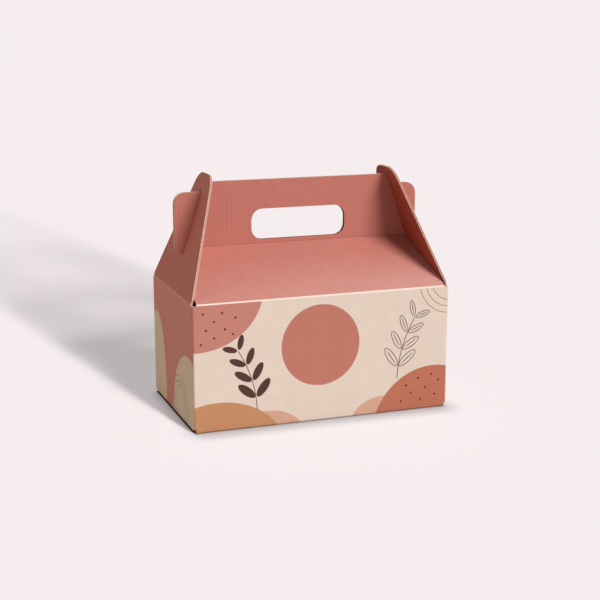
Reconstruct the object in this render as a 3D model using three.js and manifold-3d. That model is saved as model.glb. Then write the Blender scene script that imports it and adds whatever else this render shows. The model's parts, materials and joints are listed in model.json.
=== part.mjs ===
// A gable-top carry box folded from one sheet of E-flute corrugated board, in millimetres, +Z up.
// The origin is the middle of the underside. X runs along the front, and the front wall faces -Y.
// The sheet is folded round four walls, an auto-lock bottom, two roof halves and a double handle.
// At each end a tall flap leans in against the handle, and the handle's ear stands through its slot.
import * as THREE from "three";
import { mergeVertices } from "three/addons/utils/BufferGeometryUtils.js";
import Module from "manifold-3d";

const wasm = await Module();
wasm.setup();

// The sheet
const board = 1.5; // thickness of the board
const creaseRadius = 0.3; // inside radius of every fold
const layerGap = 0.3; // between two boards that lie face to face and aren't glued
const hingeGap = 0.3; // round the crease of a gable flap, and between that flap and the roof

// The box
const width = 200; // outside, along X
const depth = 116; // outside, along Y
const wallHeight = 95; // from the floor to the creases on top of the walls
const cornerRelief = 1.7; // how far the roof is cut back at its four low corners

// The roof and the handle
const roofRise = 31; // from the walls' top crease up to the handle's crease
const gripHeight = 48; // from that crease to the handle's top edge
const gripCorner = 2; // radius of the handle's top corners
const holeWidth = 75; // the hand hole
const holeHeight = 23.2;
const holeCorner = 8.5;
const holeRise = 2.8; // from the handle's crease to the hole

// The ears at the ends of the handle
const earSetback = 3; // from the end wall's outer face in to the ear's outer edge
const earDrop = 7.2; // from the handle's top edge down to the ear's top edge
const earDip = 3.5; // how far the ear reaches down past the handle's crease
const earTopCorner = 8.5;
const earFootCorner = 5;

// The gable flaps
const lean = THREE.MathUtils.degToRad(18.2); // how far a closed flap leans in from upright
const flapInset = 1.4; // from the corner of the box in to the flap's side, measured at the crease
const flapTaper = 0.45; // how much each side comes in for each millimetre up the flap
const flapRelief = 2; // how far the flap is cut back at each end of its crease
const flapReliefHeight = 3.5;
const tipMargin = 12.8; // board above the slot
const tipCorner = 15;
const slotSideClearance = 0.6; // beside the doubled ear, on each side
const slotEndClearance = 0.8; // above and below the ear
const slotCorner = 1.5;

// The auto-lock bottom
const bottomSeam = 0.8; // between the two long bottom flaps
const endFlapLength = 35; // of the glued flap at each end
const endFlapMargin = 3; // from the box's side in to the end flap's side
const endFlapCorner = 4;
const tongueStart = 10; // from the middle of the box to the tongue, along X
const tongueWidth = 52;
const tongueReach = 18; // past the middle of the box, over the other long flap
const tongueLift = 0.2; // between the tongue and the flap that it lies on
const tongueRamp = 4.9; // length of the stretch that climbs over the other flap
const tongueCorner = 6;
const tongueSlit = 0.5; // the cut beside the tongue

// The glued seam, inside the back wall at its right-hand end
const seamWidth = 24;
const seamSetback = 0.8; // from the end wall's outer face in to the back wall's cut edge
const seamTaper = 6; // how much the seam's tab narrows at top and bottom
const seamCorner = 3;

// How far a cutting shape or a joined piece runs past what it meets, and the turn of one facet of an arc
const past = 2;
const overlap = 3;
const arcStep = THREE.MathUtils.degToRad(15);

// Levels and places that follow from the sizes above
const halfWidth = width / 2;
const halfDepth = depth / 2;
const foldRadius = board + creaseRadius;
const gripFace = board + layerGap / 2; // from the middle plane to the handle's printed face
const wallEdge = halfWidth - foldRadius; // where the round of an upright corner starts
const hingeX = halfWidth - board / 2;
const endWallTop = wallHeight - board / 2 - hingeGap;
const cornerFoot = board + foldRadius; // lower end of the upright corners
const gripBase = wallHeight + roofRise;
const gripTop = gripBase + gripHeight;
const earReach = halfWidth - earSetback;
const earTop = gripTop - earDrop;
const earFoot = gripBase - earDip;

const corner = (x, y, radius = 0) => ({ x, y, radius });
const mirrored = (corners) =>
  corners.map(({ x, y, radius }) => corner(-x, y, radius)).reverse();

// The points of a closed outline, with an arc of the stated radius at each corner.
function outline(corners) {
  const points = [];
  corners.forEach((here, i) => {
    const tip = new THREE.Vector2(here.x, here.y);
    if (here.radius === 0) {
      points.push(tip);
      return;
    }
    const before = corners.at(i - 1);
    const after = corners[(i + 1) % corners.length];
    const back = new THREE.Vector2(before.x, before.y).sub(tip).normalize();
    const ahead = new THREE.Vector2(after.x, after.y).sub(tip).normalize();
    const half = Math.acos(back.dot(ahead)) / 2;
    const turn = -Math.sign(back.cross(ahead)) * (Math.PI - 2 * half);
    const bisector = back.clone().add(ahead).normalize();
    const centre = tip.clone().addScaledVector(bisector, here.radius / Math.sin(half));
    const start = tip.clone().addScaledVector(back, here.radius / Math.tan(half));
    const steps = Math.max(2, Math.ceil(Math.abs(turn) / arcStep));
    for (let k = 0; k <= steps; k++) {
      points.push(start.clone().rotateAround(centre, (turn * k) / steps));
    }
  });
  return points.filter((point, i) => point.distanceTo(points.at(i - 1)) > 1e-4);
}

// The section of a folded strip of board. The corners are those of its printed face, and the board
// lies on the right-hand side of the way they run.
function foldedSection(corners) {
  const legs = corners.slice(1).map((end, i) => {
    const along = new THREE.Vector2(end.x - corners[i].x, end.y - corners[i].y).normalize();
    return { along, inward: new THREE.Vector2(along.y, -along.x) };
  });
  const printed = [];
  const plain = [];
  corners.forEach((here, i) => {
    const before = legs[Math.max(i - 1, 0)];
    const after = legs[Math.min(i, legs.length - 1)];
    const turn = before.along.cross(after.along);
    const offset = before.inward.clone().add(after.inward);
    offset.multiplyScalar(board / (1 + before.inward.dot(after.inward)));
    const [printedRadius, plainRadius] =
      turn === 0 ? [0, 0] : turn < 0 ? [foldRadius, creaseRadius] : [creaseRadius, foldRadius];
    printed.push(corner(here.x, here.y, printedRadius));
    plain.push(corner(here.x + offset.x, here.y + offset.y, plainRadius));
  });
  return outline([...printed, ...plain.reverse()]);
}

function solidOf(geometry) {
  geometry.deleteAttribute("normal");
  geometry.deleteAttribute("uv");
  const merged = mergeVertices(geometry);
  return new wasm.Manifold(
    new wasm.Mesh({
      numProp: 3,
      vertProperties: merged.attributes.position.array,
      triVerts: new Uint32Array(merged.index.array),
    }),
  );
}

function geometryOf(solid) {
  const mesh = solid.getMesh();
  const geometry = new THREE.BufferGeometry();
  geometry.setAttribute("position", new THREE.BufferAttribute(mesh.vertProperties, 3));
  geometry.setIndex(new THREE.BufferAttribute(mesh.triVerts, 1));
  return geometry;
}

function extruded(points, length, holes) {
  const shape = new THREE.Shape(points);
  shape.holes = holes.map((hole) => new THREE.Path(hole));
  return new THREE.ExtrudeGeometry(shape, { depth: length, bevelEnabled: false });
}

const xAxis = new THREE.Vector3(1, 0, 0);
const yAxis = new THREE.Vector3(0, 1, 0);
const zAxis = new THREE.Vector3(0, 0, 1);

// A prism along X of an outline drawn in Y and Z.
function prismX(points, from, to, holes = []) {
  const turned = new THREE.Matrix4().makeBasis(yAxis, zAxis, xAxis).setPosition(from, 0, 0);
  return solidOf(extruded(points, to - from, holes).applyMatrix4(turned));
}

// A prism along Y of an outline drawn in X and Z.
function prismY(points, from, to, holes = []) {
  const turned = new THREE.Matrix4().makeBasis(xAxis, zAxis, yAxis.clone().negate()).setPosition(0, to, 0);
  return solidOf(extruded(points, to - from, holes).applyMatrix4(turned));
}

// A prism along Z of an outline drawn in X and Y.
function prismZ(points, from, to, holes = []) {
  return solidOf(extruded(points, to - from, holes).translate(0, 0, from));
}

const halfTurn = (solid) => solid.rotate([0, 0, 180]);

// Where the roof and the handle end under the closed right flap, at a height above its crease.
const roofEnd = (height) =>
  hingeX - height * Math.tan(lean) - (board / 2 + hingeGap) / Math.cos(lean);

// The front of the sheet: long bottom flap, front wall, roof half and handle panel in one folded strip,
// cut to its outline as seen from the front.
function frontStrip() {
  const section = foldedSection([
    corner(-bottomSeam / 2, 0),
    corner(-halfDepth, 0),
    corner(-halfDepth, wallHeight),
    corner(-gripFace, gripBase),
    corner(-gripFace, gripTop),
  ]);
  const roofEdge = wallEdge - cornerRelief;
  const rightSide = [
    corner(wallEdge, -past),
    corner(wallEdge, endWallTop),
    corner(roofEdge, endWallTop),
    corner(roofEdge, wallHeight + (roofEnd(0) - roofEdge) / Math.tan(lean)),
    corner(roofEnd(gripTop - wallHeight), gripTop, gripCorner),
  ];
  const hole = [
    corner(holeWidth / 2, gripBase + holeRise, holeCorner),
    corner(holeWidth / 2, gripBase + holeRise + holeHeight, holeCorner),
  ];
  const outside = outline([...rightSide, ...mirrored(rightSide)]);
  const handHole = outline([...hole, ...mirrored(hole)]);
  const front = prismY(outside, -halfDepth - past, past, [handHole]);
  return prismX(section, -halfWidth, halfWidth).intersect(front);
}

// One ear of the front handle panel. Its foot dips past the handle's crease, just outside the roof's end.
function ear() {
  const dipStart = roofEnd(earFoot - wallHeight) + hingeGap;
  const inside = holeWidth / 2 + past;
  return prismY(
    outline([
      corner(inside, gripBase + foldRadius),
      corner(dipStart, gripBase + foldRadius),
      corner(dipStart, earFoot),
      corner(earReach, earFoot, earFootCorner),
      corner(earReach, earTop, earTopCorner),
      corner(inside, earTop),
    ]),
    -gripFace,
    -gripFace + board,
  );
}

// The tongue of the front bottom flap, which climbs over the edge of the back one and lies on it.
function tongue() {
  const lift = board + tongueLift;
  const rampEnd = -bottomSeam / 2 - tongueLift;
  const rampFoot = rampEnd - tongueRamp;
  const root = rampFoot - overlap;
  const section = foldedSection([
    corner(tongueReach, lift),
    corner(rampEnd, lift),
    corner(rampFoot, 0),
    corner(root, 0),
  ]);
  const end = tongueStart + tongueWidth;
  const plan = outline([
    corner(tongueStart, root),
    corner(end, root),
    corner(end, rampEnd + board),
    corner(end - tongueWidth / 4, tongueReach, tongueCorner),
    corner(tongueStart + tongueWidth / 10, tongueReach, tongueCorner),
    corner(tongueStart, rampEnd + board),
  ]);
  return {
    solid: prismX(section, tongueStart, end).intersect(prismZ(plan, -past, lift + board + past)),
    clearance: prismZ(
      outline([
        corner(tongueStart - tongueSlit, rampFoot),
        corner(end + tongueSlit, rampFoot),
        corner(end + tongueSlit, past),
        corner(tongueStart - tongueSlit, past),
      ]),
      -past,
      board + past,
    ),
  };
}

// The right end wall between its two upright folds. backFace is where its back fold's outer side lies:
// on the box's side, or one board further in, where the glued seam lies inside the back wall.
function endWall(backFace) {
  const lap = foldRadius + overlap;
  return prismZ(
    foldedSection([
      corner(halfWidth - lap, backFace),
      corner(halfWidth, backFace),
      corner(halfWidth, -halfDepth),
      corner(halfWidth - lap, -halfDepth),
    ]),
    cornerFoot,
    endWallTop,
  );
}

// The right end's bottom flap, folded in on top of the long ones and glued to them. Its free sides run
// in at 45 degrees, which is what lets an auto-lock bottom collapse.
function endFlap() {
  const section = foldedSection([
    corner(halfWidth, cornerFoot + overlap),
    corner(halfWidth, board),
    corner(halfWidth - endFlapLength, board),
  ]);
  const wide = halfDepth - endFlapMargin;
  const narrow = wide - (endFlapLength - foldRadius);
  const plan = outline([
    corner(halfWidth + past, -wide),
    corner(halfWidth + past, wide),
    corner(wallEdge, wide),
    corner(halfWidth - endFlapLength, narrow, endFlapCorner),
    corner(halfWidth - endFlapLength, -narrow, endFlapCorner),
    corner(wallEdge, -wide),
  ]);
  return prismY(section, -wide, wide).intersect(prismZ(plan, 0, cornerFoot + overlap + past));
}

// The seam: a tab of the right end wall glued inside the back wall, whose cut edge shows at the corner.
function seam() {
  const tab = outline([
    corner(wallEdge, cornerFoot),
    corner(wallEdge, endWallTop),
    corner(wallEdge - seamWidth, endWallTop - seamTaper, seamCorner),
    corner(wallEdge - seamWidth, cornerFoot + seamTaper, seamCorner),
  ]);
  const edge = outline([
    corner(wallEdge - overlap, cornerFoot),
    corner(halfWidth - seamSetback, cornerFoot),
    corner(halfWidth - seamSetback, endWallTop),
    corner(wallEdge - overlap, endWallTop),
  ]);
  return prismY(tab, halfDepth - 2 * board, halfDepth - board).add(
    prismY(edge, halfDepth - board, halfDepth),
  );
}

function cartonGeometry() {
  const lock = tongue();
  const half = frontStrip().subtract(lock.clearance).add(lock.solid).add(ear());
  const otherEar = ear().mirror([1, 0, 0]);
  const halves = half.add(otherEar).add(halfTurn(half.add(otherEar)));
  const rightEnd = endWall(halfDepth - board).add(endFlap()).add(seam());
  const leftEnd = halfTurn(endWall(halfDepth).add(endFlap()));
  return geometryOf(halves.add(rightEnd).add(leftEnd));
}

// A gable flap, upright, with its crease along Y through the origin. The lower edge is rounded about
// the crease, and the slot takes in all that the ear sweeps through as the flap turns.
function flapGeometry() {
  const footCentre = new THREE.Vector2(earReach - earFootCorner, earFoot + earFootCorner);
  const crease = new THREE.Vector2(hingeX, wallHeight);
  const slotStart = footCentre.distanceTo(crease) - earFootCorner - slotEndClearance;
  const earTopHeight = earTop - wallHeight;
  const slotEnd =
    Math.hypot(hingeX - roofEnd(earTopHeight), earTopHeight) + slotEndClearance;
  const slotHalf = gripFace + slotSideClearance;
  const length = slotEnd + tipMargin;
  const base = halfDepth - flapInset;
  const side = (height) => base - flapTaper * height;

  const section = outline([
    corner(board / 2, -board / 2, board / 2),
    corner(board / 2, length + past),
    corner(-board / 2, length + past),
    corner(-board / 2, -board / 2, board / 2),
  ]);
  const rightSide = [
    corner(base - flapRelief, -board),
    corner(base - flapRelief, flapRelief / 2),
    corner(side(flapReliefHeight), flapReliefHeight),
    corner(side(length), length, tipCorner),
  ];
  const slot = [corner(slotHalf, slotStart, slotCorner), corner(slotHalf, slotEnd, slotCorner)];
  const face = prismX(outline([...rightSide, ...mirrored(rightSide)]), -past, past, [
    outline([...slot, ...mirrored(slot)]),
  ]);
  return geometryOf(prismY(section, -halfDepth, halfDepth).intersect(face));
}

const rosePrint = new THREE.MeshStandardMaterial({ color: 0xc27264, roughness: 0.75, metalness: 0 });
const creamPrint = new THREE.MeshStandardMaterial({ color: 0xefd9c3, roughness: 0.75, metalness: 0 });

const box = new THREE.Group();
const carton = new THREE.Mesh(cartonGeometry(), creamPrint);
carton.name = "carton";
box.add(carton);

for (const [name, side] of [
  ["left_gable_flap", -1],
  ["right_gable_flap", 1],
]) {
  const crease = new THREE.Group();
  crease.position.set(side * hingeX, 0, wallHeight);
  crease.rotation.y = -side * lean;
  const flap = new THREE.Mesh(flapGeometry(), rosePrint);
  flap.name = name;
  crease.add(flap);
  box.add(crease);
}

export default box;
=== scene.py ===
# %% [markdown]
# This is a gable-top carry box: one sheet of fluted board, printed, cut, folded and glued. The packed
# CAD model gives its exact shape, so this script dresses that shape. It cuts the board's edges open to
# show the flutes, prints the faces, and then sets up the floor, the lamps and the camera.

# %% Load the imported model
import json
import math

import bpy
from mathutils import Matrix, Vector

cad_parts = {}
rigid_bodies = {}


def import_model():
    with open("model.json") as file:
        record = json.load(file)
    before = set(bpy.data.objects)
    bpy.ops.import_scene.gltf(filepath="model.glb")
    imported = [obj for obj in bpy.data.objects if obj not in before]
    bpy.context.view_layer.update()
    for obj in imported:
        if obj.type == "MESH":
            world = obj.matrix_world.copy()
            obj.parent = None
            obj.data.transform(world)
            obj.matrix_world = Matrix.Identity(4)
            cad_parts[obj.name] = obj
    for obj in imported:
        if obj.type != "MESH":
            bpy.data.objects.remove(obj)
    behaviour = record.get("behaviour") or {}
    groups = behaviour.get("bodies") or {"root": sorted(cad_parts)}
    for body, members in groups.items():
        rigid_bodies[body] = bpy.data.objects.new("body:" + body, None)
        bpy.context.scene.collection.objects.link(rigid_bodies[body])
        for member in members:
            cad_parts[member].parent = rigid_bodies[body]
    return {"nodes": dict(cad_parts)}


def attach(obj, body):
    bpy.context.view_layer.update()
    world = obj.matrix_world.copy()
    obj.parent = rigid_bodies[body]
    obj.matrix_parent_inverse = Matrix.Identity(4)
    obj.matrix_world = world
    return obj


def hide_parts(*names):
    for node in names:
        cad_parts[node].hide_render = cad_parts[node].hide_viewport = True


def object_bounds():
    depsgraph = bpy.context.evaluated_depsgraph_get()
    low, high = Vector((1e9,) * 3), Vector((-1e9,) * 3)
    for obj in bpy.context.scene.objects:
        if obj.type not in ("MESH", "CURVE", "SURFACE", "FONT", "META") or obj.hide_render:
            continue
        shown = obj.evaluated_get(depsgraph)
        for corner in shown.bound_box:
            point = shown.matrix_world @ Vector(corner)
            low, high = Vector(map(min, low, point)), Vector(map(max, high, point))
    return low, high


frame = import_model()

MM = 0.001
cad_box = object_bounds()
print("CAD box:", cad_box)


def deselect_all():
    bpy.ops.object.select_all(action="DESELECT")


deselect_all()

# %% [markdown]
# Every face of the box is the same board, seen on its printed side, its inner side or its cut edge.
# The panels could be modelled again by hand, but the CAD model has their exact outlines and folds. So
# each CAD node is copied, because a node itself is never changed. A node is loose triangles. The copy's
# doubles are merged and its flat triangles are dissolved into whole faces. Then a face can be picked by
# where it lies and which way it looks.

# %% Helpers for picking faces
SAME_CORNER = 0.005 * MM
SAME_PLANE = math.radians(0.5)


def make_active(piece):
    deselect_all()
    piece.select_set(True)
    bpy.context.view_layer.objects.active = piece


def select_faces(piece, wanted):
    """Enter edit mode on a piece, with just the faces selected that wanted(centre in mm, normal) names."""
    make_active(piece)
    bpy.ops.object.mode_set(mode="EDIT")
    bpy.ops.mesh.select_mode(type="FACE")
    bpy.ops.mesh.select_all(action="DESELECT")
    bpy.ops.object.mode_set(mode="OBJECT")
    for face in piece.data.polygons:
        face.select = wanted(face.center / MM, face.normal)
    bpy.ops.object.mode_set(mode="EDIT")


def leave_edit_mode():
    bpy.ops.object.mode_set(mode="OBJECT")


def board_copy(node_name, piece_name):
    """A copy of a CAD node with merged corners and whole faces."""
    node = frame["nodes"][node_name]
    piece = node.copy()
    piece.data = node.data.copy()
    piece.name = piece_name
    piece.data.name = piece_name
    # The node's own tags and parent come along with a copy, and a new piece has none.
    for key in list(piece.keys()):
        del piece[key]
    piece.parent = None
    bpy.context.scene.collection.objects.link(piece)
    piece.data.materials.clear()
    make_active(piece)
    bpy.ops.mesh.customdata_custom_splitnormals_clear()
    bpy.ops.object.mode_set(mode="EDIT")
    bpy.ops.mesh.select_all(action="SELECT")
    bpy.ops.mesh.remove_doubles(threshold=SAME_CORNER)
    bpy.ops.mesh.dissolve_limited(angle_limit=SAME_PLANE)
    leave_edit_mode()
    print(piece_name, "has", len(piece.data.polygons), "faces")
    return piece


carton = board_copy("carton", "carton_board")
left_flap = board_copy("left_gable_flap", "left_flap_board")
right_flap = board_copy("right_gable_flap", "right_flap_board")

# %% [markdown]
# The finishes come next. Board of this kind has three looks. The printed side is matt ink on smooth
# paper, where the flutes beneath show as faint stripes. The inner side is a plain deep colour. The cut
# edge is bare paper. A picture could be wrapped round the box instead, but it would blur close up and
# would need unwrapping. Maths on Object coordinates stays sharp, and it stays on the board from any side.

# %% Helpers for node trees
def srgb(red, green, blue):
    """A colour written as 0 to 255 values, in the linear values that shaders use."""
    def linear(value):
        share = value / 255
        return share / 12.92 if share <= 0.04045 else ((share + 0.055) / 1.055) ** 2.4
    return (linear(red), linear(green), linear(blue), 1)


def new_node(tree, kind, **settings):
    node = tree.nodes.new(kind)
    for name, value in settings.items():
        setattr(node, name, value)
    return node


def feed(tree, socket, value):
    """Link a socket to another one, or set it to a plain value."""
    if isinstance(value, bpy.types.NodeSocket):
        tree.links.new(value, socket)
    else:
        socket.default_value = value


def maths(tree, operation, first, second=0.0, third=0.0, clamp=False):
    node = new_node(tree, "ShaderNodeMath", operation=operation, use_clamp=clamp)
    for socket, value in zip(node.inputs, (first, second, third)):
        feed(tree, socket, value)
    return node.outputs[0]


def mixed(tree, share, under, over):
    """The colour under where share is 0, and the colour over where it is 1."""
    node = new_node(tree, "ShaderNodeMix", data_type="RGBA")
    feed(tree, node.inputs["Factor"], share)
    # A Mix node has sockets for every kind of data. Inputs 6 and 7 and output 2 are those for colours.
    feed(tree, node.inputs[6], under)
    feed(tree, node.inputs[7], over)
    return node.outputs[2]


def noise(tree, place, scale, detail=3.0, roughness=0.5):
    node = new_node(tree, "ShaderNodeTexNoise")
    feed(tree, node.inputs["Vector"], place)
    feed(tree, node.inputs["Scale"], scale)
    feed(tree, node.inputs["Detail"], detail)
    feed(tree, node.inputs["Roughness"], roughness)
    return node.outputs[0]


def ranged(tree, value, low, high, to_low, to_high):
    """to_low where value is low or less, to_high where it is high or more, and a slope in between."""
    node = new_node(tree, "ShaderNodeMapRange", clamp=True)
    for socket, number in zip(node.inputs, (value, low, high, to_low, to_high)):
        feed(tree, socket, number)
    return node.outputs[0]


# %% [markdown]
# The print is made of plain shapes: discs, ovals and thin rings. A Mapping node of the texture kind
# moves, turns and scales the place on the wall, so that any oval becomes a circle of radius one round
# zero. The length of that vector then says how far in or out the place is.

# %% Shapes of the print
PRINT_EDGE = 0.12 * MM


def oval(tree, place, centre, half_sizes, turn=0.0):
    """1 inside an oval in the wall's plane, 0 outside. The wall's plane is X and Z, in mm."""
    mapping = new_node(tree, "ShaderNodeMapping", vector_type="TEXTURE")
    feed(tree, mapping.inputs["Vector"], place)
    mapping.inputs["Location"].default_value = (centre[0] * MM, 0, centre[1] * MM)
    mapping.inputs["Rotation"].default_value = (0, -math.radians(turn), 0)
    mapping.inputs["Scale"].default_value = (half_sizes[0] * MM, 1, half_sizes[1] * MM)
    length = new_node(tree, "ShaderNodeVectorMath", operation="LENGTH")
    feed(tree, length.inputs[0], mapping.outputs[0])
    soft = PRINT_EDGE / (min(half_sizes) * MM)
    return ranged(tree, length.outputs["Value"], 1 - soft, 1 + soft, 1.0, 0.0)


def ring(tree, place, centre, half_sizes, line, turn=0.0):
    """A thin line along the rim of an oval, line mm wide."""
    outer = oval(tree, place, centre, half_sizes, turn)
    inner = oval(tree, place, centre, [size - line for size in half_sizes], turn)
    return maths(tree, "SUBTRACT", outer, inner, clamp=True)


def both(tree, first, second):
    return maths(tree, "MULTIPLY", first, second)


def either(tree, *masks):
    shape = masks[0]
    for mask in masks[1:]:
        shape = maths(tree, "MAXIMUM", shape, mask)
    return shape


def wall_place(tree, across):
    """Where a point lies: as a flat vector with the way across the wall in X and the height in Z, as the
    way across alone, and in space. across is X, -X or Y, whichever way the wall runs."""
    coordinates = new_node(tree, "ShaderNodeTexCoord")
    split = new_node(tree, "ShaderNodeSeparateXYZ")
    feed(tree, split.inputs[0], coordinates.outputs["Object"])
    run = split.outputs[across[-1]]
    if across.startswith("-"):
        run = maths(tree, "MULTIPLY", run, -1.0)
    flat = new_node(tree, "ShaderNodeCombineXYZ")
    feed(tree, flat.inputs["X"], run)
    feed(tree, flat.inputs["Z"], split.outputs["Z"])
    return flat.outputs[0], run, coordinates.outputs["Object"]


# %% [markdown]
# Ink on board isn't even. It has a fine grain, a slow cloudiness, and a faint stripe above each flute,
# which breaks off here and there. Together they make the tone: a number near 1 for each place, by which
# the ink's colour is multiplied.

# %% The tone of the ink
GRAIN_SCALE, CLOUD_SCALE, BREAK_SCALE = 1000.0, 110.0, 260.0
GRAIN_ROUGHNESS = 0.7
GRAIN_SHARE = 2


def ink_tone(tree, place, wave, grain, stripe, mottle):
    """wave and grain are number sockets: the flutes' rise and fall, and the fine grain."""
    broken = noise(tree, place, BREAK_SCALE)
    cloud = noise(tree, place, CLOUD_SCALE)
    tone = maths(tree, "MULTIPLY_ADD", maths(tree, "MULTIPLY", wave, broken), stripe, 1.0)
    tone = maths(tree, "MULTIPLY_ADD", maths(tree, "SUBTRACT", grain, 0.5), mottle * GRAIN_SHARE, tone)
    return maths(tree, "MULTIPLY_ADD", maths(tree, "SUBTRACT", cloud, 0.5), mottle, tone)


# %% [markdown]
# The board's face is pressed into faint waves by the flutes beneath it, and the paper has fibres. Faces
# for them would run into millions, so Bump nodes tilt the surface's normal instead, which changes only
# how it is shaded. The second bump builds on the first one's normal.

# %% The relief of the board
WASHBOARD_HEIGHT = 0.05 * MM
STRIPE_TO_BUMP = 9
FIBRE_HEIGHT = 0.03 * MM
FIBRE_STRENGTH = 0.35


def bump(tree, height, distance, strength):
    node = new_node(tree, "ShaderNodeBump")
    feed(tree, node.inputs["Height"], height)
    feed(tree, node.inputs["Distance"], distance)
    feed(tree, node.inputs["Strength"], strength)
    return node


def board_relief(tree, wave, grain, stripe):
    """The normal of fluted board. wave and grain are the heights of its waves and of its fibres."""
    washboard = bump(tree, wave, WASHBOARD_HEIGHT, min(1.0, STRIPE_TO_BUMP * stripe))
    fibres = bump(tree, grain, FIBRE_HEIGHT, FIBRE_STRENGTH)
    feed(tree, fibres.inputs["Normal"], washboard.outputs[0])
    return fibres.outputs[0]


# %% [markdown]
# One function lays any ink on board. It takes the ink as a paint: a function that says what colour each
# place on a wall has. So a plain panel and a printed wall are the same recipe.

# %% The printed surface of the board
FLUTE_PITCH = 3.3 * MM


def printed_board(name, across, paint, roughness=0.6, gloss=0.3, stripe=0.05, mottle=0.11):
    """A material of matt print on fluted board. paint(tree, place) gives the ink's colour socket.
    stripe is how strongly the flutes show through, and mottle how uneven the ink is."""
    material = bpy.data.materials.new(name)
    material.use_nodes = True
    tree = material.node_tree
    shader = tree.nodes["Principled BSDF"]
    flat, run, place = wall_place(tree, across)
    wave = maths(tree, "SINE", maths(tree, "MULTIPLY", run, 2 * math.pi / FLUTE_PITCH))
    grain = noise(tree, place, GRAIN_SCALE, roughness=GRAIN_ROUGHNESS)
    ink = new_node(tree, "ShaderNodeVectorMath", operation="SCALE")
    feed(tree, ink.inputs[0], paint(tree, flat))
    feed(tree, ink.inputs["Scale"], ink_tone(tree, place, wave, grain, stripe, mottle))
    feed(tree, shader.inputs["Base Color"], ink.outputs[0])
    feed(tree, shader.inputs["Roughness"], roughness)
    feed(tree, shader.inputs["Specular IOR Level"], gloss)
    feed(tree, shader.inputs["Normal"], board_relief(tree, wave, grain, stripe))
    return material


# %% [markdown]
# The inks come next. The roof, the handle and the flaps are rose, and the long walls are cream with
# fields of rose, clay, ochre and peach. Each colour is written as the 0 to 255 values of a picture, which
# are easy to compare with what is seen.

# %% Inks
ROSE = srgb(199, 121, 107)
# The next rose is a deeper copy of the handle's, painted shade for the flaps, and the one after it a paler
# copy, painted light for the shaded end walls.
SHADED_FLAP_ROSE = srgb(193, 113, 94)
LIT_END_ROSE = srgb(209, 131, 111)
ROOF_ROSE = srgb(191, 116, 103)
# A paler rose for the roof's painted sheen.
SHEEN_ROSE = srgb(214, 158, 148)
CREAM = srgb(239, 218, 201)
CLAY = srgb(199, 117, 92)
OCHRE = srgb(207, 146, 103)
PEACH = srgb(226, 173, 146)
FIELD_ROSE = srgb(206, 134, 118)
DISC_ROSE = srgb(200, 124, 107)
TAN = srgb(222, 190, 158)
BROWN = srgb(84, 52, 44)
LINE_ROSE = srgb(176, 100, 84)
BRICK = srgb(164, 76, 57)
# A dark brown, painted shade on the hand hole's rim.
HOLE_SHADE_BROWN = srgb(64, 28, 20)
# A pale rose, painted light on creases that lie in shade beneath the gable flaps.
LIT_CREASE_ROSE = srgb(236, 178, 162)
# A dark rose, painted shade in the fold between the roof and the handle.
SHADED_FOLD_ROSE = srgb(138, 66, 56)
# A pale cream, a painted highlight along the fold at the roof's foot.
HIGHLIGHT_CREAM = srgb(250, 222, 210)
PAPER = srgb(240, 204, 188)
KRAFT = srgb(218, 176, 152)


def plain(colour):
    """A paint that is one ink all over."""
    def paint(tree, place):
        solid = new_node(tree, "ShaderNodeRGB")
        solid.outputs[0].default_value = colour
        return solid.outputs[0]
    return paint


# %% [markdown]
# The roof is one rose ink too, but it is painted paler low down and to the right, as a painted sheen. One
# slope goes up the roof and one goes along it, and their product is the share of the painted sheen.

# %% The roof's paint
PALE_FOOT, PALE_TOP = 94 * MM, 118 * MM
PALE_LEFT, PALE_RIGHT = -80 * MM, 90 * MM
SHARE_AT_FOOT, SHARE_AT_TOP = 0.75, 0.0
SHARE_AT_LEFT, SHARE_AT_RIGHT = 0.45, 1.0


def roof_paint(tree, place):
    """The roof's rose, with a painted sheen that pales it towards its lower crease and its right end."""
    split = new_node(tree, "ShaderNodeSeparateXYZ")
    feed(tree, split.inputs[0], place)
    low = ranged(tree, split.outputs["Z"], PALE_FOOT, PALE_TOP, SHARE_AT_FOOT, SHARE_AT_TOP)
    right = ranged(tree, split.outputs["X"], PALE_LEFT, PALE_RIGHT, SHARE_AT_LEFT, SHARE_AT_RIGHT)
    return mixed(tree, both(tree, low, right), ROOF_ROSE, SHEEN_ROSE)


# %% [markdown]
# A printed plant is a thin arc with pairs of leaves. The arc is a ring whose centre lies level with the
# plant's foot, cut off by a large oval. The leaves are ovals, placed by the angle along the arc. One
# function makes both plants: one with filled leaves, the other with outlined ones.

# %% A printed plant
LINE = 0.6
STEM_MARGIN = 6
LEAF_PAIRS = 4
ABOVE_LAST_PAIR = 0.3
LEAF_SHRINK = 0.09
LEAF_GAP = 1.2
VEIN_SHARE = 0.75
VEIN_HALF_WIDTH = 0.32


def printed_leaf(tree, place, middle, half_sizes, turn, outlined):
    """A leaf full of ink, or a rim with a vein in its middle."""
    if not outlined:
        return oval(tree, place, middle, half_sizes, turn)
    rim = ring(tree, place, middle, half_sizes, LINE, turn)
    vein = oval(tree, place, middle, (half_sizes[0] * VEIN_SHARE, VEIN_HALF_WIDTH), turn)
    return either(tree, rim, vein)


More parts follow.
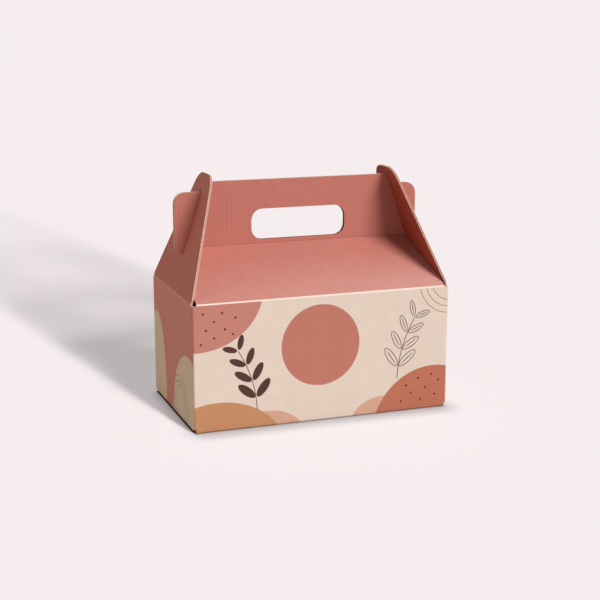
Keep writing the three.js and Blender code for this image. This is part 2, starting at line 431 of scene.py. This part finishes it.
def printed_plant(tree, place, foot, height, reach, leaf, turn_out, outlined):
    """A plant height mm tall that leans over by reach mm. leaf holds the half sizes of a leaf, and
    turn_out is the angle in degrees between a leaf and the stem."""
    radius = (height ** 2 + reach ** 2) / (2 * abs(reach))
    side = math.copysign(1, reach)
    centre = (foot[0] + side * radius, foot[1])
    arc = math.asin(height / radius)
    stem = ring(tree, place, centre, (radius, radius), LINE)
    half_way = (foot[0] + reach / 2, foot[1] + height / 2)
    window = oval(tree, place, half_way, (abs(reach) / 2 + STEM_MARGIN, height / 2))
    parts = [both(tree, stem, window)]
    for step in range(1, LEAF_PAIRS + 1):
        angle = arc * step / (LEAF_PAIRS + ABOVE_LAST_PAIR)
        x = centre[0] - side * radius * math.cos(angle)
        z = centre[1] + radius * math.sin(angle)
        length, width = [size * (1 - LEAF_SHRINK * step) for size in leaf]
        for hand in (-1, 1):
            turn = 90 - side * math.degrees(angle) + hand * turn_out
            away = Vector((math.cos(math.radians(turn)), math.sin(math.radians(turn))))
            middle = Vector((x, z)) + away * (length + LEAF_GAP)
            parts.append(printed_leaf(tree, place, middle, (length, width), turn, outlined))
    return either(tree, *parts)


# %% [markdown]
# The print of the walls is built up like paper cut-outs, from the cream at the bottom to the plants on
# top. Each shape is a mask, and a Mix node lays the next ink where its mask is 1. Places and sizes are in
# mm on the wall, from the middle of its foot. The disc in the middle stays plain.

# %% The print of the long walls
DOT_RADIUS = 0.85
DOTS = [(-92, 88), (-84, 82), (-90, 76), (-78, 88), (-76, 76), (-84, 70), (-68, 84), (-94, 66), (-70, 72)]
BEADS = [(62, 8), (70, 14), (66, 20), (78, 8), (82, 17), (90, 11), (93, 22), (76, 25), (87, 27)]


def lay_oval(tree, place, ink, colour, centre, half_sizes):
    return mixed(tree, oval(tree, place, centre, half_sizes), ink, colour)


def lay_rings(tree, place, ink, colour, centre, radii, line):
    rings = [ring(tree, place, centre, (radius, radius), line) for radius in radii]
    return mixed(tree, either(tree, *rings), ink, colour)


def long_wall_paint(tree, place):
    ink = lay_oval(tree, place, CREAM, FIELD_ROSE, (-97, 104), (50, 44))
    ink = lay_oval(tree, place, ink, PEACH, (-44, -12), (30, 24))
    ink = lay_oval(tree, place, ink, OCHRE, (-82, -20), (52, 42))
    ink = lay_oval(tree, place, ink, PEACH, (47, -8), (27, 22))
    ink = lay_oval(tree, place, ink, CLAY, (88, -18), (50, 52))
    ink = lay_oval(tree, place, ink, DISC_ROSE, (-3, 58), (30.5, 30.5))
    ink = lay_rings(tree, place, ink, LINE_ROSE, (101, 99), (15, 20, 25), 0.5)
    dots = [oval(tree, place, centre, (DOT_RADIUS, DOT_RADIUS)) for centre in DOTS + BEADS]
    right_plant = printed_plant(
        tree, place, foot=(58, 22), height=54, reach=16, leaf=(9.6, 3.5), turn_out=42, outlined=True
    )
    left_plant = printed_plant(
        tree, place, foot=(-52, 10), height=52, reach=-16, leaf=(8.8, 3.5), turn_out=44, outlined=False
    )
    return mixed(tree, either(tree, right_plant, left_plant, *dots), ink, BROWN)


# %% [markdown]
# An end wall is rose with two large tan fields and three thin rings. Only the left one is seen in the
# photograph, and the right one gets the same print.

# %% The print of the end walls
def end_wall_paint(tree, place):
    ink = lay_oval(tree, place, LIT_END_ROSE, TAN, (46, 12), (25, 57))
    ink = lay_oval(tree, place, ink, TAN, (-44, -6), (46, 60))
    return lay_rings(tree, place, ink, BROWN, (-20, 12), (14, 18, 22), 0.4)


# %% [markdown]
# Every finish is the same recipe with another ink. What sets the finishes apart is how glossy they are and
# how much the flutes show through: in the photograph their stripes are clearest on the handle. The crease
# finish is pale painted light on creases that lie in shade, the fold at the roof's foot has a pale painted
# highlight, the fold below the handle and the hand hole's rim are darkened by painted shade, and the cut
# edge has no ink.

# %% The finishes of the box
rose_grip = printed_board("rose_print_grip", "X", plain(ROSE), stripe=0.05)
rose_roof = printed_board(
    "rose_print_roof", "X", roof_paint, roughness=0.55, gloss=0.35, stripe=0.012, mottle=0.15
)
# The flaps' outer faces take the deeper rose, which is painted shade.
rose_end = printed_board("rose_print_end", "Y", plain(SHADED_FLAP_ROSE), roughness=0.7, gloss=0.15, stripe=0.02)
front_print = printed_board("front_print", "X", long_wall_paint, stripe=0.008)
back_print = printed_board("back_print", "-X", long_wall_paint, stripe=0.008)
end_print = printed_board("end_print", "Y", end_wall_paint, roughness=0.7, gloss=0.2, stripe=0.02)
hole_painted_shade = printed_board("hole_painted_shade", "X", plain(HOLE_SHADE_BROWN), roughness=0.9, gloss=0.1, stripe=0.0)
crease_painted_light = printed_board("crease_painted_light", "Y", plain(LIT_CREASE_ROSE), roughness=0.8, stripe=0.0)
fold_painted_shade = printed_board("fold_painted_shade", "X", plain(SHADED_FOLD_ROSE), roughness=0.8, gloss=0.1, stripe=0.0)
fold_painted_highlight = printed_board("fold_painted_highlight", "X", plain(HIGHLIGHT_CREAM), stripe=0.0)
inside = printed_board(
    "inside_liner", "X", plain(BRICK), roughness=0.75, gloss=0.2, stripe=0.03, mottle=0.12
)
cut_edge = printed_board("cut_edge", "X", plain(PAPER), roughness=0.85, stripe=0.0, mottle=0.2)
flute_paper = printed_board("flute_paper", "X", plain(KRAFT), roughness=0.9, stripe=0.0, mottle=0.25)
print("Made", len(bpy.data.materials), "materials")

# %% [markdown]
# Now each face gets its finish. Faces could be picked by hand in the window, but a rule can be read and
# run again. A face's normal and centre, in mm, say what it is: a flat panel looks straight outwards, and
# a cut edge of the upper panels looks neither to the front nor to the back. BOARD is the thickness of the
# board, and GRIP_BASE the height at which the handle starts. SLACK keeps a rule clear of the faces next
# to the ones that it means.

# %% Rules for panels and cut edges
WALL_TOP = 95.0
HALF_WIDTH = round(cad_box[1][0] / MM, 3)
HALF_DEPTH = round(cad_box[1][1] / MM, 3)
BOARD = 1.5
GRIP_BASE = 126.0
SLACK = 0.4
EDGE_ON = 0.05
HOLE_HALF_WIDTH = 38
HOLE_FOOT, HOLE_TOP = 128, 153


def above_walls(centre):
    return centre.z > WALL_TOP + 0.2


def outwards(centre, normal):
    """How far a face of the roof or the handle looks away from the middle of the box."""
    return normal.y * math.copysign(1, centre.y)


def outer_side(centre):
    """Whether a face of the walls is on the outside of the board."""
    inner_x, inner_y = HALF_WIDTH - BOARD, HALF_DEPTH - BOARD
    return abs(centre.x) > inner_x + SLACK or abs(centre.y) > inner_y + SLACK


def on_wall(centre):
    return centre.z < WALL_TOP and outer_side(centre)


def upper_cut(centre, normal):
    return centre.z > WALL_TOP + 0.5 and abs(normal.y) < EDGE_ON


def in_hand_hole(centre):
    return abs(centre.x) < HOLE_HALF_WIDTH and HOLE_FOOT < centre.z < HOLE_TOP


def roof_outside(centre, normal):
    return above_walls(centre) and normal.z > 0.8 and 0.4 < outwards(centre, normal) < 0.6


# %% [markdown]
# A fold is a few narrow faces between two panels, and they look only partly outwards. So a fold is found
# by its height and by a range of normals. The inner side of a fold looks another way or lies further in,
# which leaves it out.

# %% Rules for the folds
def on_foot_fold(centre):
    """The round fold between a wall and the underside."""
    return SLACK < centre.z < 2 * BOARD and outer_side(centre)


def grip_fold(centre, normal):
    """The sharp fold between the roof and the handle."""
    return abs(centre.z - GRIP_BASE) < 2 and 0.55 < abs(normal.y) < 0.99 and normal.z > 0.1


def end_wall_top(centre, normal):
    """The top of an end wall, beneath the gable flap's rounded edge."""
    on_end = abs(centre.x) > 98 and abs(centre.y) < 54.6
    return on_end and 92 < centre.z < WALL_TOP and normal.z > 0.1


def roof_foot_fold(centre, normal):
    """The fold between a wall and the roof."""
    return abs(centre.z - WALL_TOP) < 1.5 and 0.15 < normal.z < 0.8 and outer_side(centre)


# %% [markdown]
# Finishes are laid like coats of paint: the inner side's colour goes on everywhere first, and each rule
# after it takes its own faces. A material slot for each finish keeps them all on one mesh. In the short
# rules, c is a face's centre and n its normal.

# %% Finishes on the carton
STRAIGHT_OUT = 0.7
PARTLY_OUT = 0.2


def assign(piece, material, wanted):
    """Give a material to the faces that wanted(centre in mm, normal) names."""
    if material.name not in piece.data.materials:
        piece.data.materials.append(material)
    select_faces(piece, wanted)
    piece.active_material_index = piece.data.materials.find(material.name)
    bpy.ops.object.material_slot_assign()
    leave_edit_mode()


assign(carton, inside, lambda c, n: True)
assign(carton, rose_grip, lambda c, n: above_walls(c) and outwards(c, n) > PARTLY_OUT)
assign(carton, rose_roof, roof_outside)
assign(carton, cut_edge, upper_cut)
# The hand hole's rim gets dark painted shade.
assign(carton, hole_painted_shade, lambda c, n: upper_cut(c, n) and in_hand_hole(c))
assign(carton, front_print, lambda c, n: on_wall(c) and c.y < 0 and n.y < -STRAIGHT_OUT)
assign(carton, back_print, lambda c, n: on_wall(c) and c.y > 0 and n.y > STRAIGHT_OUT)
assign(carton, end_print, lambda c, n: on_wall(c) and c.z < WALL_TOP - 1 and abs(n.x) > STRAIGHT_OUT)
assign(carton, rose_grip, lambda c, n: c.z < SLACK and n.z < -0.3)
assign(carton, front_print, lambda c, n: on_foot_fold(c) and c.y < 0 and n.y < -PARTLY_OUT)
assign(carton, back_print, lambda c, n: on_foot_fold(c) and c.y > 0 and n.y > PARTLY_OUT)
assign(carton, end_print, lambda c, n: on_foot_fold(c) and abs(n.x) > PARTLY_OUT)
# The fold between the roof and the handle gets painted shade.
assign(carton, fold_painted_shade, grip_fold)
# The end walls' tops beneath the flaps get pale painted light against the shade in the crease.
assign(carton, crease_painted_light, end_wall_top)
# The fold at the roof's foot gets a painted highlight.
assign(carton, fold_painted_highlight, roof_foot_fold)
print("The carton has", len(carton.data.materials), "finishes")

# %% [markdown]
# The gable flaps close the two ends of the box and lean in against the roof. Their outer side is printed
# and their inner side is not. At the foot each one ends in a rounded edge, which is the crease that it
# turns on. The lean is known, so the dot product of a face's normal with the flap's outward direction
# tells the kinds of face apart: it is near 1 outside, near -1 inside, and near 0 at a cut edge.

# %% Finishes on the gable flaps
LEAN = math.radians(18.2)


def flap_outward(side):
    """The way a closed flap's printed face looks. side is -1 at the left and 1 at the right."""
    return Vector((side * math.cos(LEAN), 0, math.sin(LEAN)))


def is_nose(centre, normal):
    """The rounded lower edge of a flap, where it turns about its crease."""
    return centre.z < WALL_TOP + SLACK and abs(normal.y) < 0.5


def finish_flap(piece, side):
    """Finish the printed side, the inner side, the crease and the cut edges of a flap that leans in."""
    outward = flap_outward(side)
    assign(piece, inside, lambda c, n: True)
    assign(piece, rose_end, lambda c, n: n.dot(outward) > EDGE_ON)
    # The flap's rounded lower edge gets pale painted light against the shade in its crease.
    assign(piece, crease_painted_light, is_nose)
    assign(piece, cut_edge, lambda c, n: abs(n.dot(outward)) < EDGE_ON and not is_nose(c, n))
    print(piece.name, "has", len(piece.data.materials), "finishes")


finish_flap(left_flap, -1)
finish_flap(right_flap, 1)

# %% [markdown]
# At a cut the board is open: two outer papers with a waved paper between them. Stripes of paint could stand
# for it, but a real groove catches the light. The cut faces are inset by the thickness of the outer papers,
# and what is left between them is pushed in. In the hand hole the groove keeps the rim's dark painted
# shade.

# %% Open the cut edges
PAPER_THICKNESS = 0.27
GROOVE_DEPTH = 0.5


def open_cut_edges(piece, wanted):
    """Sink a groove between the board's two outer papers, along the picked cut faces."""
    piece.data.materials.append(flute_paper)
    select_faces(piece, wanted)
    bpy.ops.mesh.inset(thickness=PAPER_THICKNESS * MM, depth=0)
    bpy.ops.mesh.extrude_region_shrink_fatten(
        TRANSFORM_OT_shrink_fatten={"value": -GROOVE_DEPTH * MM, "use_even_offset": True}
    )
    # Only the groove's floor is selected now, and one step more takes in its sides.
    bpy.ops.mesh.select_more()
    leave_edit_mode()
    groove_slot = piece.data.materials.find(flute_paper.name)
    sunk = [face for face in piece.data.polygons if face.select]
    for face in sunk:
        if not in_hand_hole(face.center / MM):
            face.material_index = groove_slot
    print(piece.name, "has", len(sunk), "faces in its grooves")


# %% [markdown]
# The waved paper between the outer papers has the outline of its panel, with the hand hole, the slots and
# the rounded ends. The outline is there already, in the panel's faces. They are copied out of the board
# and pushed inwards by its thickness, and the block that this makes will cut the waved paper.

# %% A block with a panel's outline
def panel_block(piece, name, wanted, inward):
    """A block as thick as the board, with the outline of a panel's picked faces."""
    select_faces(piece, wanted)
    before = set(bpy.data.objects)
    bpy.ops.mesh.duplicate()
    bpy.ops.mesh.separate(type="SELECTED")
    leave_edit_mode()
    block = (set(bpy.data.objects) - before).pop()
    block.name = name
    make_active(block)
    bpy.ops.object.mode_set(mode="EDIT")
    bpy.ops.mesh.select_all(action="SELECT")
    bpy.ops.mesh.extrude_region_move(TRANSFORM_OT_translate={"value": inward * BOARD * MM})
    bpy.ops.mesh.select_all(action="SELECT")
    bpy.ops.mesh.normals_make_consistent(inside=False)
    leave_edit_mode()
    return block


def apply_modifiers(piece):
    make_active(piece)
    for modifier in list(piece.modifiers):
        bpy.ops.object.modifier_apply(modifier=modifier.name)


# %% [markdown]
# The wave starts as a flat grid with two strips for each flute. Every second row of corners is lifted and
# the others are lowered, which gives a zigzag. Subdivision rounds it to a wave a third as high, so the
# zigzag is three times too high at first. Solidify gives the paper its thickness. A Wave modifier makes
# ripples too, but it is meant for movement, so its shape changes with the frame.

# %% A sheet of waved paper
WAVE_THICKNESS = 0.18
ROUNDING_GAIN = 3


def flat_wave(name, flutes, run):
    """Waved paper round the origin: flutes side by side along X, each run mm long in Y."""
    deselect_all()
    bpy.ops.mesh.primitive_grid_add(x_subdivisions=2 * flutes, y_subdivisions=1, size=1)
    sheet = bpy.context.object
    sheet.name = name
    sheet.data.name = name
    sheet.scale = (flutes * FLUTE_PITCH, run * MM, 1)
    bpy.ops.object.transform_apply(location=False, rotation=False, scale=True)
    crest = (BOARD / 2 - PAPER_THICKNESS - WAVE_THICKNESS / 2) * MM
    for parity, way in ((0, 1), (1, -1)):
        bpy.ops.object.mode_set(mode="EDIT")
        bpy.ops.mesh.select_mode(type="VERT")
        bpy.ops.mesh.select_all(action="DESELECT")
        bpy.ops.object.mode_set(mode="OBJECT")
        for corner in sheet.data.vertices:
            row = round((corner.co.x + flutes * FLUTE_PITCH / 2) / (FLUTE_PITCH / 2))
            corner.select = row % 2 == parity
        bpy.ops.object.mode_set(mode="EDIT")
        bpy.ops.transform.translate(value=(0, 0, ROUNDING_GAIN * crest * way))
    leave_edit_mode()
    rounding = sheet.modifiers.new("rounding", "SUBSURF")
    rounding.levels = 2
    rounding.render_levels = 2
    paper = sheet.modifiers.new("paper", "SOLIDIFY")
    paper.thickness = WAVE_THICKNESS * MM
    paper.offset = 0
    apply_modifiers(sheet)
    return sheet


# %% [markdown]
# Then the sheet is turned into the plane of its panel, and a Boolean keeps what lies inside the panel's
# block. A grid could follow the outline by itself, but only the cut gives clean edges at the curves.

# %% Waved paper cut to its panel
def waved_paper(name, block, across, along, middle, flutes, run):
    """Waved paper in the plane of across and along, cut to a panel's block, which is used up."""
    sheet = flat_wave(name, flutes, run)
    place = Matrix((across, along, across.cross(along))).transposed().to_4x4()
    place.translation = middle * MM
    sheet.matrix_world = place
    bpy.ops.object.transform_apply(location=True, rotation=True, scale=True)
    cut = sheet.modifiers.new("cut", "BOOLEAN")
    cut.operation = "INTERSECT"
    cut.solver = "EXACT"
    cut.object = block
    apply_modifiers(sheet)
    bpy.data.objects.remove(block)
    sheet.data.materials.clear()
    sheet.data.materials.append(flute_paper)
    print(name, "has", len(sheet.data.polygons), "faces")
    return sheet


# %% [markdown]
# Six sheets of waved paper are seen at cut edges: in each handle panel, in each half of the roof and in
# each gable flap. In all of them the flutes run up and down, because the box is cut from one sheet. Each
# sheet lies in the middle of its board, so it is placed half a board below the printed face. It starts
# larger than its panel, and the cut makes it fit.

# %% Waved paper in the handle and the roof
X, Y, Z = Vector((1, 0, 0)), Vector((0, 1, 0)), Vector((0, 0, 1))
GRIP_FACE = 1.65
GRIP_MIDDLE = 148
ROOF_SLOPE = math.atan2(GRIP_BASE - WALL_TOP, HALF_DEPTH - GRIP_FACE)
SAME_WAY = 0.999
WALL_FLUTES = 60
added = []
for name, side in (("front", -1), ("back", 1)):
    outward = Vector((0, side, 0))
    grip = panel_block(
        carton, name + "_grip_block",
        lambda c, n: n.dot(outward) > 0.99 and abs(c.y * side - GRIP_FACE) < 0.05,
        -outward,
    )
    middle = Vector((0, side * (GRIP_FACE - BOARD / 2), GRIP_MIDDLE))
    grip_flutes = waved_paper(name + "_grip_flutes", grip, X, Z, middle, WALL_FLUTES, run=56)
    upward = Vector((0, -side * math.cos(ROOF_SLOPE), math.sin(ROOF_SLOPE)))
    roof_outward = Vector((0, side * math.sin(ROOF_SLOPE), math.cos(ROOF_SLOPE)))
    roof = panel_block(
        carton, name + "_roof_block",
        lambda c, n: n.dot(roof_outward) > SAME_WAY and c.z > WALL_TOP and c.y * side > 0,
        -roof_outward,
    )
    half_way = Vector((0, side * (HALF_DEPTH + GRIP_FACE) / 2, (WALL_TOP + GRIP_BASE) / 2))
    middle = half_way - roof_outward * BOARD / 2
    roof_flutes = waved_paper(name + "_roof_flutes", roof, X, upward, middle, WALL_FLUTES, run=70)
    added += [(grip_flutes, "carton", "cream_print"), (roof_flutes, "carton", "cream_print")]

# %% [markdown]
# A gable flap's sheet is placed in the same way, but the flap leans. Its way up is turned in by the lean,
# and its middle is measured from the crease along the flap.

# %% Waved paper in the gable flaps
HINGE_X = HALF_WIDTH - BOARD / 2
FLAP_MIDDLE = 45
FLAP_FLUTES = 35
for piece, name, side in ((left_flap, "left_flap", -1), (right_flap, "right_flap", 1)):
    outward = flap_outward(side)
    upward = Vector((-side * math.sin(LEAN), 0, math.cos(LEAN)))
    block = panel_block(piece, name + "_block", lambda c, n: n.dot(outward) > SAME_WAY, -outward)
    middle = Vector((side * HINGE_X, 0, WALL_TOP)) + upward * FLAP_MIDDLE
    flap_flutes = waved_paper(name + "_flutes", block, Y * side, upward, middle, FLAP_FLUTES, run=96)
    added.append((flap_flutes, name, "rose_print"))

# %% [markdown]
# The grooves are sunk only now, because the blocks for the waved paper were taken from whole faces.

# %% Sink the grooves
open_cut_edges(carton, upper_cut)
for piece, side in ((left_flap, -1), (right_flap, 1)):
    outward = flap_outward(side)
    open_cut_edges(piece, lambda c, n: abs(n.dot(outward)) < EDGE_ON and not is_nose(c, n))

# %% [markdown]
# A fold in board is round, but in the model it is a few narrow faces. More faces could round it, and so
# can shading: faces that meet at a small angle are shaded as one. A Weighted Normal modifier then keeps
# the large panels flat, because each corner takes the normal of its largest face.

# %% Smooth the folds
FOLD_ANGLE = math.radians(24)
for piece in (carton, left_flap, right_flap):
    make_active(piece)
    bpy.ops.object.shade_smooth_by_angle(angle=FOLD_ANGLE)
    flat_panels = piece.modifiers.new("flat_panels", "WEIGHTED_NORMAL")
    flat_panels.keep_sharp = True
    apply_modifiers(piece)
    print(piece.name, "has", len(piece.data.polygons), "faces and smooth folds")

# %% [markdown]
# A gable flap is joined to its wall by a crease. The CAD model leaves a gap there, so that the flap can
# turn. A strip of the wall's paper closes it: a thin block whose upper side is hollowed to let the
# flap's round lower edge turn in it. A strip that bends with the flap would need bones or shape keys,
# which a gap of a third of a millimetre isn't worth.

# %% Crease strips
STRIP_SIZE = Vector((1.42, 108.6, 0.5)) * MM
STRIP_HEIGHT = 93.95
STRIP_RIM = 0.3 * MM
STRIP_HOLLOW = 0.08 * MM
STRIP_ROUNDING = 0.1 * MM


def crease_strip(name, side):
    deselect_all()
    bpy.ops.mesh.primitive_cube_add(size=1, location=Vector((side * HINGE_X, 0, STRIP_HEIGHT)) * MM)
    strip = bpy.context.object
    strip.name = name
    strip.data.name = name
    strip.scale = STRIP_SIZE
    bpy.ops.object.transform_apply(location=True, rotation=True, scale=True)
    select_faces(strip, lambda c, n: n.z > 0.9)
    bpy.ops.mesh.inset(thickness=STRIP_RIM, depth=-STRIP_HOLLOW)
    bpy.ops.mesh.select_mode(type="EDGE")
    bpy.ops.mesh.bevel(offset=STRIP_ROUNDING, segments=2, affect="EDGES")
    leave_edit_mode()
    # The strip takes the crease's pale painted light.
    strip.data.materials.append(crease_painted_light)
    print(name, "has", len(strip.data.polygons), "faces")
    return strip


for name, side in (("left_crease_strip", -1), ("right_crease_strip", 1)):
    added.append((crease_strip(name, side), "carton", "rose_print"))

# %% [markdown]
# Each finished piece is tied to the body that it moves with. The three dressed boards also take the place
# of their CAD nodes, which would otherwise be seen as well.

# %% Tie the pieces to their bodies
for piece, body, slot in added:
    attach(piece, body)

dressed = (
    (carton, "carton", "carton", "cream_print"),
    (left_flap, "left_gable_flap", "left_flap", "rose_print"),
    (right_flap, "right_gable_flap", "right_flap", "rose_print"),
)
for piece, node, body, slot in dressed:
    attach(piece, body)
    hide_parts(node)
print("Tied", len(added) + len(dressed), "pieces")

# %% [markdown]
# The floor and the world are one thing to the camera and another to the light that reaches the box. A
# Light Path node says which kind of ray is asking, and a Mix Shader picks the answer.

# %% A choice between two shaders
def shader_choice(tree, share, unseen, seen):
    """The shader unseen where share is 0, and the shader seen where it is 1."""
    choice = new_node(tree, "ShaderNodeMixShader")
    for socket, value in zip(choice.inputs, (share, unseen.outputs[0], seen.outputs[0])):
        feed(tree, socket, value)
    return choice.outputs[0]


# %% [markdown]
# The floor is a pale sheet a hair below the box, 4 km wide, so that its edge lies on the horizon. The
# photograph's floor is brighter than the light that it throws back on the box, so the camera sees it
# pale, and every other ray sees a greyer floor.

# %% Floor
FLOOR_SIZE = 4000
FLOOR_HEIGHT = -0.1 * MM
PALE_FLOOR = (0.232, 0.215, 0.217, 1)
GREY_FLOOR = (0.115, 0.109, 0.109, 1)
deselect_all()
bpy.ops.mesh.primitive_plane_add(size=FLOOR_SIZE, location=(0, 0, FLOOR_HEIGHT))
floor = bpy.context.object
floor.name = "floor"
floor_paint = bpy.data.materials.new("floor_paint")
floor_paint.use_nodes = True
floor_tree = floor_paint.node_tree
floor_tree.nodes.clear()
pale_floor = new_node(floor_tree, "ShaderNodeBsdfDiffuse")
pale_floor.inputs["Color"].default_value = PALE_FLOOR
grey_floor = new_node(floor_tree, "ShaderNodeBsdfDiffuse")
grey_floor.inputs["Color"].default_value = GREY_FLOOR
floor_rays = new_node(floor_tree, "ShaderNodeLightPath")
floor_look = shader_choice(floor_tree, floor_rays.outputs["Is Camera Ray"], grey_floor, pale_floor)
floor_output = new_node(floor_tree, "ShaderNodeOutputMaterial")
feed(floor_tree, floor_output.inputs["Surface"], floor_look)
floor.data.materials.append(floor_paint)
print("The floor lies at", FLOOR_HEIGHT / MM, "mm")

# %% [markdown]
# In a studio, pale walls throw some light on the object from all round. The world does that here, a
# little warm, and weak, so that the corners stay deep. What the camera sees behind the box is an even
# pale tone, the one that the floor has, so that no horizon shows. A Light Path node tells the two apart.

# %% World
BACKGROUND = srgb(246, 237, 238)
SKY_COLOUR = (1, 0.97, 0.93, 1)
SKY_STRENGTH = 0.13
world = bpy.data.worlds.new("studio")
bpy.context.scene.world = world
world.use_nodes = True
sky = world.node_tree
sky.nodes.clear()
lighting = new_node(sky, "ShaderNodeBackground")
lighting.inputs["Color"].default_value = SKY_COLOUR
lighting.inputs["Strength"].default_value = SKY_STRENGTH
backdrop = new_node(sky, "ShaderNodeBackground")
backdrop.inputs["Color"].default_value = BACKGROUND
sky_rays = new_node(sky, "ShaderNodeLightPath")
sky_masks = [sky_rays.outputs[kind] for kind in ("Is Camera Ray", "Is Glossy Ray", "Is Transmission Ray")]
sky_look = shader_choice(sky, either(sky, *sky_masks), lighting, backdrop)
sky_output = new_node(sky, "ShaderNodeOutputWorld")
feed(sky, sky_output.inputs["Surface"], sky_look)
print("The world lights the scene with a strength of", SKY_STRENGTH)

# %% [markdown]
# Lamps shape the box. The key lamp shines down from the front right, and a weak wide one at the left
# keeps the shaded end from going dark. The shadow in the photograph is long, with sharp sides, and it
# fades away from the box. One lamp can't do that. So four lamps from nearly one direction, from low to
# high, light the floor alone: each one's shadow is shorter than the last. A fifth shines from almost
# overhead, a little from behind, and its shadow is the dark line along the front.

# %% Lamps
def sun(name, azimuth, elevation, strength, softness):
    """A lamp far away. The azimuth is counted from the front towards the right. Angles are in degrees."""
    across, up = math.radians(azimuth), math.radians(elevation)
    towards = Vector((
        math.sin(across) * math.cos(up),
        -math.cos(across) * math.cos(up),
        math.sin(up),
    ))
    deselect_all()
    bpy.ops.object.light_add(type="SUN", location=towards)
    lamp = bpy.context.object
    lamp.name = name
    lamp.rotation_euler = towards.to_track_quat("Z", "Y").to_euler()
    lamp.data.energy = strength
    lamp.data.angle = math.radians(softness)
    return lamp


box_lamps = [
    sun("key", azimuth=33, elevation=44, strength=3.12, softness=30),
    sun("side_fill", azimuth=-105, elevation=20, strength=0.78, softness=60),
]
floor_lamps = [
    sun("faint_shadow_light", azimuth=10, elevation=8, strength=5.6, softness=3),
    sun("long_shadow_light", azimuth=10, elevation=13, strength=5.8, softness=4),
    sun("middle_shadow_light", azimuth=11, elevation=21, strength=3.8, softness=5),
    sun("near_shadow_light", azimuth=12, elevation=34, strength=4.2, softness=8),
    sun("contact_shadow_light", azimuth=190, elevation=84.5, strength=6.2, softness=15),
]
print("Made", len(box_lamps), "lamps for the box and", len(floor_lamps), "for the floor")

# %% [markdown]
# A lamp with a receiver collection lights only what is in it. The floor's lamps get a collection with
# just the floor. The box's lamps get one from which the floor is excluded, so all else stays lit.

# %% Which lamp reaches what
floor_group = bpy.data.collections.new("floor_group")
floor_group.objects.link(floor)
box_group = bpy.data.collections.new("box_group")
box_group.objects.link(floor)
box_group.collection_objects[0].light_linking.link_state = "EXCLUDE"
for lamps, group in ((floor_lamps, floor_group), (box_lamps, box_group)):
    for lamp in lamps:
        lamp.light_linking.receiver_collection = group
        print(lamp.name, "uses", group.name)

# %% [markdown]
# The camera's place was found from the photograph: some forty corners of the box were matched to their
# places in the picture. It looks down a little from the left of the front. The lens is set by its angle
# of view, because the size of the sensor is not known: the focal length and half the picture's width,
# both in pixels, give that angle.

# %% Camera
YAW, PITCH = math.radians(20.006), math.radians(12.748)
DISTANCE = 968.2 * MM
AIM_HEIGHT = 78 * MM
AIM_RIGHT, AIM_UP = 1.69 * MM, 1.09 * MM
HALF_PICTURE, FOCAL_LENGTH = 300, 1254.3
back = Vector((-math.sin(YAW) * math.cos(PITCH), -math.cos(YAW) * math.cos(PITCH), math.sin(PITCH)))
right = Z.cross(back).normalized()
up = back.cross(right)
aim = right * AIM_RIGHT + up * AIM_UP + Z * AIM_HEIGHT
deselect_all()
bpy.ops.object.camera_add(location=aim + back * DISTANCE)
camera = bpy.context.object
camera.rotation_euler = back.to_track_quat("Z", "Y").to_euler()
camera.data.sensor_fit = "HORIZONTAL"
camera.data.angle = 2 * math.atan(HALF_PICTURE / FOCAL_LENGTH)
bpy.context.scene.camera = camera
bpy.context.scene.view_settings.view_transform = "Standard"
print("The camera's angle of view is", round(math.degrees(camera.data.angle), 2), "degrees")
